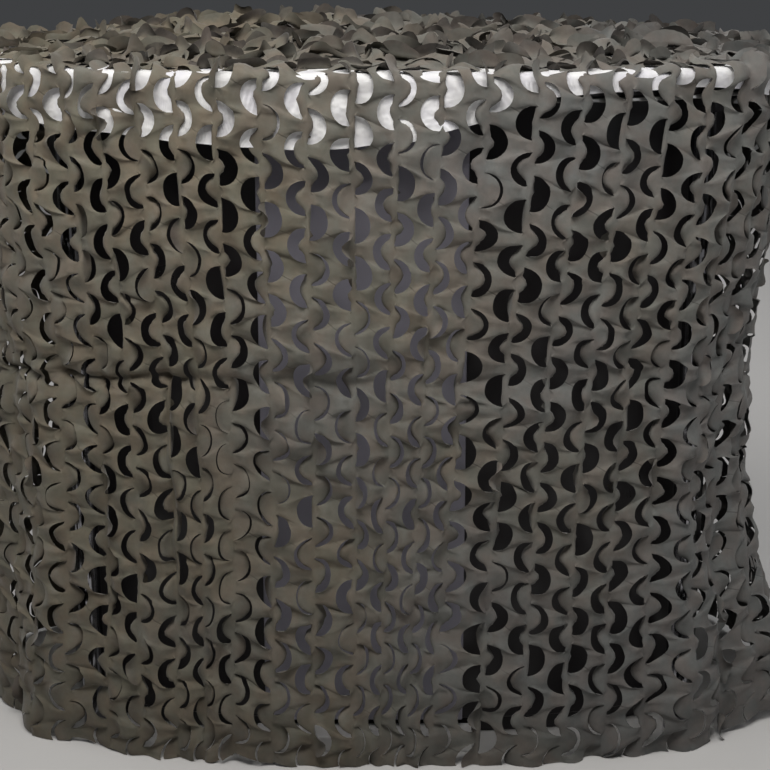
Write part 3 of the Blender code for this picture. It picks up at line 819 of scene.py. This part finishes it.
netSkirt = {
    "seed": 11,
    "angle": 0.81,               # how far a leaf stands open on average
    "angleZones": [
        # place, height, half width, half height, change
        (0.250, 0.350, 0.160, 0.400, 0.23),
        (0.130, 0.560, 0.060, 0.050, 0.24),
        (0.260, 0.110, 0.070, 0.075, 0.34),
        (-0.290, 0.580, 0.110, 0.130, 0.08),
        (-0.250, 0.100, 0.140, 0.120, 0.06),
        (0.000, 0.330, 0.110, 0.150, -0.22),
        (-0.010, 0.570, 0.110, 0.085, 0.24),
        (-0.150, 0.330, 0.060, 0.130, -0.36),
        (-0.380, 0.380, 0.070, 0.140, -0.26),
        (-0.195, 0.270, 0.055, 0.180, -0.16),
        (-0.310, 0.200, 0.060, 0.150, 0.16),
        (0.600, 0.300, 0.170, 0.280, -0.72),
        (-0.570, 0.300, 0.170, 0.280, -0.72),
        (1.080, 0.360, 0.420, 0.500, -0.20),
        (0.000, 0.000, 3.000, 0.060, -0.50),
        (0.820, 0.360, 0.160, 0.500, -0.32),
        (-0.800, 0.360, 0.160, 0.500, -0.32),
        (0.000, 0.706, 2.500, 0.034, 0.20),
        (-0.500, 0.710, 0.120, 0.040, 0.30),
        (0.480, 0.710, 0.120, 0.040, 0.20),
    ],
    "spread": 0.23,
    "stillSpread": 0.4,          # the share of the spread that is left where leaves are still
    "turnedOut": 0.07,
    "turnedOutLow": 0.12,        # and near the hem
    "low": (0.10, 0.16),         # the height up to which that holds, and the run over which it ends
    "wide": 0.06,
    "stillEnds": [
        # place and half width of the ends, where few leaves are turned out or stand wide open
        (0.610, 0.240),
        (-0.590, 0.240),
    ],
    "stillness": 0.9,
    "widestOpen": [
        # x, height, faces left
        (-0.314, 0.588, False),
        (-0.312, 0.540, False),
        (-0.230, 0.408, False),
        (-0.228, 0.361, False),
        (-0.224, 0.266, False),
        (-0.164, 0.530, True),
        (-0.157, 0.601, False),
        (0.140, 0.500, True),
        (0.147, 0.595, True),
        (0.181, 0.447, True),
        (0.282, 0.673, True),
        (0.287, 0.650, False),
    ],
    "widest": {"angle": 1.85, "twist": 0.0, "bend": 0.2},
    "horns": {"down": 0.012, "share": 0.42, "outwards": (0.5, 1.1)},     # leaves that stand up at the edge
    "bulges": [
        # seed, height, longest and shortest wave, as in all tables of ripples
        (3, 0.0026, 0.130, 0.060),
        (4, 0.0022, 0.052, 0.030),
    ],
    "sideways": [(5, 0.0014, 0.200, 0.080)],
    "downwards": [(6, 0.0014, 0.200, 0.080)],
    "deepest": 0.0060,           # how far in from the cloth a leaf can reach
    "belowTop": (0.05, 0.66, 0.03),      # how much further below a height, and the run to it
    "creaseShade": 85.0,         # how much darker a crease is for each metre of its depth
    "frontReach": 0.40,          # the front piece, to each side of the front middle
    "backReach": 0.34,           # the back piece, to each side of the back middle
}


def leafMiddles(hang, lattice, axes, periods):
    # where each leaf's fold line has its middle once the net hangs: [period, column, side, xyz]
    step = np.arange(periods + 2)[:, None, None]
    side = np.array([0.0, 1.0])
    down = lattice["firstLeaf"] + step * lattice["period"] - side * lattice["period"] / 2.0
    across = np.asarray(axes)[None, :, None] + (side * 2.0 - 1.0) * lattice["halfSpine"]
    down, across = np.broadcast_arrays(down, across)
    return drapeSkirt(hang, lattice, across, down, np.zeros_like(across)), across


def skirtLeaves(skirt, hang, lattice, form, axes):
    # the mean angle is changed by a bell for each zone, and the ends are stilled by a bell each; then the
    # widest leaves are set one by one, and along the table's edge many leaves stand up like small horns
    middles, places = leafMiddles(hang, lattice, axes, math.ceil(lattice["periods"]))
    heights = middles[..., 2]
    angle = np.full(places.shape, skirt["angle"])
    for place, height, halfWidth, halfHeight, change in skirt["angleZones"]:
        near = wrapped(places, place, hang["round"])
        angle += change * bump(near, halfWidth) * bump(heights - height, halfHeight)
    lively = np.ones(places.shape)
    for place, halfWidth in skirt["stillEnds"]:
        lively -= skirt["stillness"] * bump(wrapped(places, place, hang["round"]), halfWidth)
    low = 1.0 - smoothStep((heights - skirt["low"][0]) / skirt["low"][1])
    turnedOut = (skirt["turnedOut"] + (skirt["turnedOutLow"] - skirt["turnedOut"]) * low) * lively
    spread = skirt["spread"] * (skirt["stillSpread"] + (1.0 - skirt["stillSpread"]) * lively)
    leaves = drawLeaves(form, skirt["seed"], angle, spread, turnedOut, skirt["wide"] * lively)
    for x, height, facesLeft in skirt["widestOpen"]:
        away = np.hypot(middles[..., 0] - x, heights - height)
        away[..., 1 if facesLeft else 0] = np.inf
        away[middles[..., 1] > 0.0] = np.inf
        found = np.unravel_index(np.argmin(away), away.shape)
        for name, value in skirt["widest"].items():
            leaves[name][found] = value
    draw = np.random.default_rng(skirt["seed"] + 1)
    horns = skirt["horns"]
    isHorn = (hang["edgeHeight"] - heights < horns["down"]) & (draw.random(places.shape) < horns["share"])
    leaves["angle"] = np.where(isHorn, -draw.uniform(*horns["outwards"], places.shape), leaves["angle"])
    return leaves


def buildSkirt(skirt, hang, lattice, form):
    # the cut sheet with bulges and small shifts added, hung round the table; what reaches in levels off at
    # the greatest depth, and creases are darkened by their depth as painted shade
    columns = lattice["columns"]
    axes = (np.arange(columns) - columns // 2) * hang["round"] / columns + lattice["middleColumn"]
    leaves = skirtLeaves(skirt, hang, lattice, form, axes)
    rows = round(lattice["periods"] * (lattice["cutRows"] + lattice["stripRows"]))
    tilt = readShort(lattice["lean"], wrapped(axes, 0.0, hang["round"])) * lattice["tilt"]
    table, isCut = cutSheet(lattice, form, axes, rows, lattice["firstLeaf"], leaves, tilt, hang["round"])
    across, down = table[..., 0], table[..., 1]
    off = rippled(table[..., 2], skirt["bulges"], across, down)
    across = rippled(across, skirt["sideways"], across, down)
    down = rippled(down, skirt["downwards"], across, down)
    further, height, run = skirt["belowTop"]
    depth = skirt["deepest"] + further * smoothStep((height - (hang["edgeHeight"] - down)) / run)
    off = np.where(off < 0.0, -depth * np.tanh(-off / depth), off)
    points = drapeSkirt(hang, lattice, across, down, off)
    points[..., 2] = np.maximum(points[..., 2], floorHeight + hang["offFloor"])
    pressed = creaseDepth(hang, wrapped(across, 0.0, hang["round"]), points[..., 2])
    table[..., 4] -= skirt["creaseShade"] * pressed
    return table, sheetQuads(lattice, table, isCut), points, axes


def skirtPart(skirt, around, axis):
    # the piece to which the column at a place belongs
    near = wrapped(axis, 0.0, around)
    if abs(near) < skirt["frontReach"]:
        return "net_front"
    if abs(near) > around / 2.0 - skirt["backReach"]:
        return "net_back"
    return "net_right_end" if near > 0.0 else "net_left_end"


print("net round the table")
skirtTable, skirtQuads, skirtPoints, skirtAxes = buildSkirt(netSkirt, netHang, netLattice, netLeaf)
partOfColumn = [skirtPart(netSkirt, netHang["round"], axis) for axis in skirtAxes]
for name in ("net_front", "net_right_end", "net_back", "net_left_end"):
    members = [column for column, part in enumerate(partOfColumn) if part == name]
    faces = skirtQuads[:, members].reshape(-1, 4)
    piece = netPiece(name, skirtTable, faces, skirtPoints, netCloth)
    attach(piece, "root")
    print(" ", name, len(members), "columns", len(faces) * 2, "triangles")
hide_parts("camouflage_net")


netHeap = {
    "halfWidth": 0.410,          # how far it reaches along the table from the middle
    "halfDepth": 0.199,
    "slack": (1.17, 1.19),       # cloth to table, along it and across
    "squareness": 12,            # n of its outline before its corners are drawn in
    "roundness": 2.8,            # and after
    "spread": 0.4,
    "layers": [
        # name, seed, height off the net's rim, angle of the leaves pushed in, share turned out
        ("net_top", 23, 0.0022, 0.60, 0.78),
        ("net_top_under", 29, -0.0026, 0.30, 0.25),
    ],
    "wide": 0.05,
    "outwards": (0.8, 1.8),      # of a leaf turned out
    "lying": {"from": 0.80, "share": 0.72, "angles": (-0.35, 0.25)},     # leaves towards the border
    "bends": {
        "ends": ("even", -0.2, 0.4),
        "curl": ("normal", 0.0, 38.0),
        "cup": ("normal", 0.0, 0.0045),
    },
    "dark": (0.42, 1.0),         # share of the leaves with a darker side up, and how much darker
    # tint of leaves darker side up; the shade's negative mean is painted shade over the whole top
    "tintAndPaintedShade": {
        "tint": ("even", 0.5, 1.0),
        "shade": ("normal", -0.85, 0.60),
    },
    "heaps": [
        # x, y, spread along x and y, height
        (-0.120, 0.060, 0.110, 0.080, 0.012),
        (-0.020, 0.110, 0.060, 0.055, 0.006),
        (-0.260, 0.010, 0.070, 0.090, 0.004),
        (-0.400, 0.060, 0.060, 0.120, -0.008),
        (0.150, -0.020, 0.070, 0.070, 0.004),
        (0.300, 0.040, 0.080, 0.090, 0.004),
        (-0.020, -0.100, 0.120, 0.040, 0.002),
    ],
    "alongTable": [(31, 0.010, 0.150, 0.060)],
    "acrossTable": [(32, 0.008, 0.150, 0.060)],
    "wrinkled": 0.0060,          # how high the wrinkles stand in the mean
    "wrinkles": [(33, 0.0060, 0.085, 0.045), (34, 0.0015, 0.032, 0.020)],
    "slopes": [(35, 0.40, 0.080, 0.040), (36, 0.55, 0.080, 0.040)],
    "settles": (0.66, 0.28),     # how far out it begins to lie flat, and the run over which it does
    "borderRaised": 0.2,         # the share of a layer's own height that is left at the border
    "offTable": 0.0032,
}


def heapPlan(heap, across, along):
    # the loose cloth in plan, its columns along the table: drawn together by its slack and turned a little
    # here and there, its corners drawn in from the squarer |u|^m + |v|^m = 1 to |u|^n + |v|^n = 1;
    # gives x, y and how far out the place is, 1 at the border
    x = rippled(along / heap["slack"][0], heap["alongTable"], across, along)
    y = rippled(across / heap["slack"][1], heap["acrossTable"], across, along)
    u, v = np.abs(x) / heap["halfWidth"] + 1e-6, np.abs(y) / heap["halfDepth"] + 1e-6
    square, roundness = heap["squareness"], heap["roundness"]
    out = (u ** square + v ** square) ** (1.0 / square)
    drawnIn = out / (u ** roundness + v ** roundness) ** (1.0 / roundness)
    return x * drawnIn, y * drawnIn, out


def drapeHeap(heap, rimHeight, raised, across, along, off):
    # the plan, wrinkled and heaped, and let down onto the net's own rim towards the table's edge
    x, y, out = heapPlan(heap, across, along)
    height = np.zeros_like(x)
    for atX, atY, spreadX, spreadY, high in heap["heaps"]:
        height += high * bump(x - atX, spreadX) * bump(y - atY, spreadY)
    wrinkle = rippled(heap["wrinkled"], heap["wrinkles"], across, along)
    inner = 1.0 - smoothStep((out - heap["settles"][0]) / heap["settles"][1])
    raised = raised * (heap["borderRaised"] + (1.0 - heap["borderRaised"]) * inner)
    height = (height + wrinkle) * inner + raised
    slopeX, slopeY = [inner * rippled(0.0, [slope], across, along) for slope in heap["slopes"]]
    lift = 1.0 / np.sqrt(1.0 + slopeX ** 2 + slopeY ** 2)
    z = np.maximum(rimHeight + height + off * lift, tableHeight + heap["offTable"])
    return np.stack([x - slopeX * lift * off, y - slopeY * lift * off, z], axis=-1)


def heapLeaves(heap, lattice, form, seed, axes, periods, firstLeaf, angle, turnedOut):
    # leaves turned out stand up high and curl; all are darkened by painted shade, and those with their
    # darker side up are tinted and darker still; towards the border most leaves lie down
    shape = (periods + 2, len(axes), 2)
    leaves = drawLeaves(form, seed, np.full(shape, angle), heap["spread"], turnedOut, heap["wide"])
    draw = np.random.default_rng(seed + 1)
    standing = -draw.uniform(*heap["outwards"], shape)
    leaves["angle"] = np.where(leaves["angle"] < 0.0, standing, leaves["angle"])
    down = firstLeaf + np.arange(periods + 2)[:, None, None] * lattice["period"] + np.zeros(shape)
    out = heapPlan(heap, np.asarray(axes)[None, :, None] + np.zeros(shape), down)[2]
    lying = heap["lying"]
    isLying = (out > lying["from"]) & (draw.random(shape) < lying["share"])
    leaves["angle"] = np.where(isLying, draw.uniform(*lying["angles"], shape), leaves["angle"])
    leaves.update(drawTable(draw, heap["bends"], shape))
    darkShare, darker = heap["dark"]
    isDark = draw.random(shape) < darkShare
    # tint, and a shade whose negative mean is painted shade
    leaves.update(drawTable(draw, heap["tintAndPaintedShade"], shape))
    leaves["tint"] = leaves["tint"] * isDark
    leaves["shade"] = leaves["shade"] - darker * isDark
    return leaves


def buildHeap(heap, hang, lattice, form, seed, raised, angle, turnedOut):
    # one layer of the loose cloth, with as many columns and periods as its size and slack hold; gives its
    # table, faces, points and flat size
    columns = round(2.0 * heap["halfDepth"] * heap["slack"][1] / lattice["pitch"])
    periods = round(2.0 * heap["halfWidth"] * heap["slack"][0] / lattice["period"])
    axes = (np.arange(columns) - (columns - 1) / 2.0) * lattice["pitch"]
    firstLeaf = -(periods - 1) / 2.0 * lattice["period"]
    leaves = heapLeaves(heap, lattice, form, seed, axes, periods, firstLeaf, angle, turnedOut)
    rows = periods * (lattice["cutRows"] + lattice["stripRows"])
    table, isCut = cutSheet(lattice, form, axes, rows, firstLeaf, leaves, np.zeros(columns))
    points = drapeHeap(heap, hang["edgeHeight"], raised, table[..., 0], table[..., 1], table[..., 2])
    quads = sheetQuads(lattice, table, isCut)
    keep = np.ones(quads.shape[:3], dtype=bool)
    keep[:, -1, -lattice["ribbonCells"]:] = False        # no ribbon after the last column
    return table, quads[keep], points, (columns * flatPitch(lattice), periods * lattice["period"])


print("loose net on top")
for name, *layer in netHeap["layers"]:
    heapTable, heapFaces, heapPoints, heapFlat = buildHeap(netHeap, netHang, netLattice, netLeaf, *layer)
    heapPiece = netPiece(name, heapTable, heapFaces, heapPoints, netCloth)
    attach(heapPiece, "root")
    print(" ", name, len(heapFaces) * 2, "triangles")


whiteSheet = {
    "sharpness": 2.7,
    "clear": (0.0082, 0.0056),   # off the table's ends and off its front and back
    "lying": 0.0034,             # above the table's top face
    "round": 0.0080,
    "roundRings": 5,
    "roundLength": 1.57,         # of the turn over the edge, in radii
    "waves": 13,
    "waveDepth": 0.0011,
    "waveLimits": (-0.8, 1.4),
    "wrinkles": [(42, 0.45, 0.09, 0.03)],
    "steps": 288,
    "topRings": (0.02, 0.15, 0.3, 0.45, 0.6, 0.72, 0.84, 0.93),
    "topArea": 1.12,             # of its outline, next to the ellipse's
    "sideRings": 12,
    "drops": [
        # place, how far it hangs below the table's top face
        (-1.100, 0.050), (-0.800, 0.062), (-0.560, 0.048), (-0.360, 0.056), (-0.210, 0.067),
        (-0.060, 0.075), (0.020, 0.066), (0.090, 0.048), (0.170, 0.022), (0.230, 0.019),
        (0.340, 0.018), (0.450, 0.040), (0.620, 0.055), (0.850, 0.045), (1.100, 0.050),
    ],
    "unevenHem": [(41, 0.0012, 0.2, 0.05)],
}


def buildUndercloth(cloth, finish):
    # flat on the table, a quarter turn over its edge, then hanging in shallow waves to an uneven hem;
    # gives the piece, its flat width and depth with the mean drop on each side, and its flat area
    low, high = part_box("table_top")
    clearX, clearY = cloth["clear"]
    reachX, reachY = (high.x - low.x) / 2.0 + clearX, (high.y - low.y) / 2.0 + clearY
    outline = roundedOutline(reachX, reachX, reachY, reachY, cloth["sharpness"], cloth["steps"])
    points, normal, length = outline
    place = np.arange(cloth["steps"]) * length / cloth["steps"]
    near = wrapped(place, 0.0, length)
    drop = rippled(readShort(cloth["drops"], near), cloth["unevenHem"], near, 0.0 * near)
    top = tableHeight + cloth["lying"]
    bend = cloth["round"]
    rings = []
    for share in cloth["topRings"]:
        ring = (points - normal * bend) * share
        rings.append(np.column_stack([ring, np.full(len(ring), top)]))
    for turn in np.linspace(0.0, math.pi / 2.0, cloth["roundRings"]):
        ring = points - normal * bend * (1.0 - math.sin(turn))
        rings.append(np.column_stack([ring, np.full(len(ring), top - bend * (1.0 - math.cos(turn)))]))
    for share in np.linspace(0.0, 1.0, cloth["sideRings"] + 1)[1:]:
        deep = bend + share * (drop - bend)
        wave = 0.5 + 0.5 * np.sin(2.0 * math.pi * cloth["waves"] * place / length)
        wave = rippled(wave, cloth["wrinkles"], near, deep)
        push = np.clip(wave, *cloth["waveLimits"]) * cloth["waveDepth"] * share
        rings.append(np.column_stack([points + normal * push[:, None], top - deep]))
    grid = np.stack(rings)
    index = np.arange(grid.shape[0] * grid.shape[1]).reshape(grid.shape[:2])
    after = np.roll(index, -1, axis=1)
    faces = np.stack([index[:-1], index[1:], after[1:], after[:-1]], axis=-1).reshape(-1, 4)
    piece = addMesh("white_cloth", grid.reshape(-1, 3), faces, finish)[0]
    meanDrop = float(drop.mean())
    hanging = bend * cloth["roundLength"] + meanDrop
    area = length * hanging + math.pi * reachX * reachY * cloth["topArea"]
    return piece, (2.0 * (reachX + meanDrop), 2.0 * (reachY + meanDrop)), area


print("white cloth")
undercloth, underFlat, underArea = buildUndercloth(whiteSheet, whiteCloth)
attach(undercloth, "root")
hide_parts("white_undercloth")


studio = {
    "floor": (0.50, 0.49, 0.48),
    "floorRough": 0.7,
    "floorReach": 6.0,
    "world": (0.55, 0.57, 0.60),
    "worldStrength": 0.09,
    "lights": [
        # name, place, what it points at, width, height, watts, colour
        ("key", (-0.12, -1.25, 2.15), (0.0, -0.20, 0.45), 1.3, 0.8, 37.5, (1.0, 0.985, 0.96)),
        ("fill", (2.3, -2.0, 1.2), (0.1, 0.0, 0.40), 1.6, 1.6, 8.0, (0.94, 0.97, 1.0)),
        ("left fill", (-1.15, -0.95, 1.75), (-0.40, -0.10, 0.72), 0.6, 0.6, 3.5, (1.0, 0.99, 0.97)),
        ("right end", (2.3, 0.5, 1.4), (0.3, 0.0, 0.40), 1.2, 1.2, 9.0, (1.0, 1.0, 1.0)),
        ("left end", (-2.3, 0.5, 1.4), (-0.3, 0.0, 0.40), 1.2, 1.2, 9.0, (1.0, 1.0, 1.0)),
        ("top", (-0.2, -0.2, 2.4), (0.0, 0.0, 0.70), 1.8, 1.2, 7.0, (1.0, 1.0, 1.0)),
        ("back", (0.6, 2.6, 1.8), (0.0, 0.0, 0.40), 1.6, 1.2, 21.0, (1.0, 1.0, 1.0)),
    ],
}

camera = {"place": (0.0, -2.012, 0.966), "pitch": 16.8, "lens": 86.2, "sensor": 36.0}


def linked(name, data):
    # a new object of the data, in the scene
    made = bpy.data.objects.new(name, data)
    bpy.context.scene.collection.objects.link(made)
    return made


def buildFloor(studio):
    # one plain square round the object
    side = studio["floorReach"]
    corners = [(x * side, y * side, floorHeight) for x, y in ((-1, -1), (1, -1), (1, 1), (-1, 1))]
    floorMesh = bpy.data.meshes.new("studio_floor")
    floorMesh.from_pydata(corners, [], [(0, 1, 2, 3)])
    floor = linked("studio_floor", floorMesh)
    finish = boardFinish("studio floor", studio["floor"], studio["floor"], studio["floorRough"])
    floorMesh.materials.append(finish)


def buildLights(studio):
    # a faint even sky and rectangular lamps, each turned from its place towards what it points at
    world = bpy.data.worlds.new("studio")
    world.use_nodes = True
    sky = world.node_tree.nodes["Background"].inputs
    sky["Color"].default_value = (*studio["world"], 1.0)
    sky["Strength"].default_value = studio["worldStrength"]
    bpy.context.scene.world = world
    for name, place, target, width, height, watts, colour in studio["lights"]:
        lamp = bpy.data.lights.new(name, "AREA")
        lamp.shape, lamp.size, lamp.size_y = "RECTANGLE", width, height
        lamp.energy, lamp.color = watts, colour
        lampObject = linked(name, lamp)
        lampObject.location = place
        lampObject.rotation_euler = (Vector(target) - Vector(place)).to_track_quat("-Z", "Y").to_euler()


def buildCamera(camera):
    # it looks along +Y, pitched down
    view = bpy.data.cameras.new("camera")
    view.lens, view.sensor_width = camera["lens"], camera["sensor"]
    viewObject = linked("camera", view)
    viewObject.location = camera["place"]
    viewObject.rotation_euler = (math.radians(90.0 - camera["pitch"]), 0.0, 0.0)
    bpy.context.scene.camera = viewObject
    bpy.context.scene.view_settings.view_transform = "Standard"


print("studio")
buildFloor(studio)
buildLights(studio)
buildCamera(camera)
